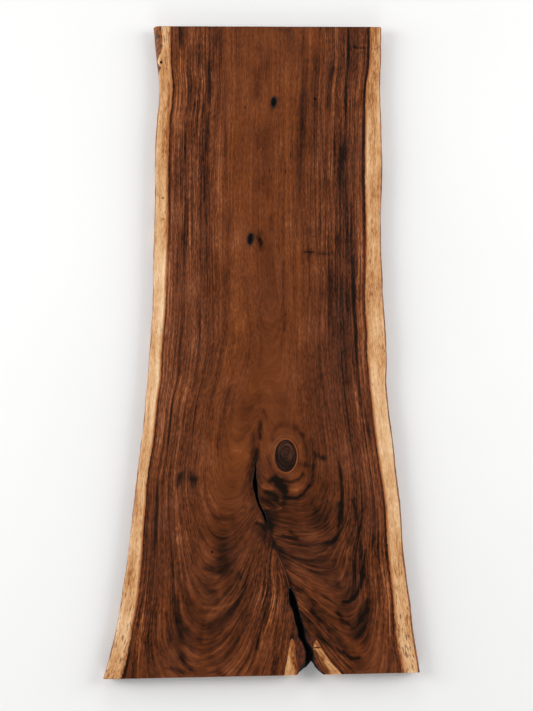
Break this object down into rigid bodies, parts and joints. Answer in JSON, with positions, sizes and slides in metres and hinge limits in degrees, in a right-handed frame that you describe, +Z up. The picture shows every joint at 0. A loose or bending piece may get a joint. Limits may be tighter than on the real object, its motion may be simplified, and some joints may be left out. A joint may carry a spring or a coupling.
{
  "type": "live edge wood slab",
  "caption": "Long sawn raintree slab with both natural edges, pale sapwood borders, dark figured heartwood, a swirl and knot near the foot, and an open split at the foot end.",
  "frame": {"origin": "middle of the underside's bounding box, on the surface that the slab lies on", "axes": "+Z up out of the show face; +Y along the slab, from the wide foot end with the split to the narrower head end; +X across it, to the right as the show face is seen with the foot end nearest"},
  "size_m": [1.148, 2.468, 0.055],
  "materials": {
    "oiled_raintree": "sanded and oiled, satin; brown heartwood with near-black streaks and straw-coloured sapwood along both live edges"
  },
  "bodies": {
    "root": {"slab": "oiled_raintree"}
  },
  "joints": []
}
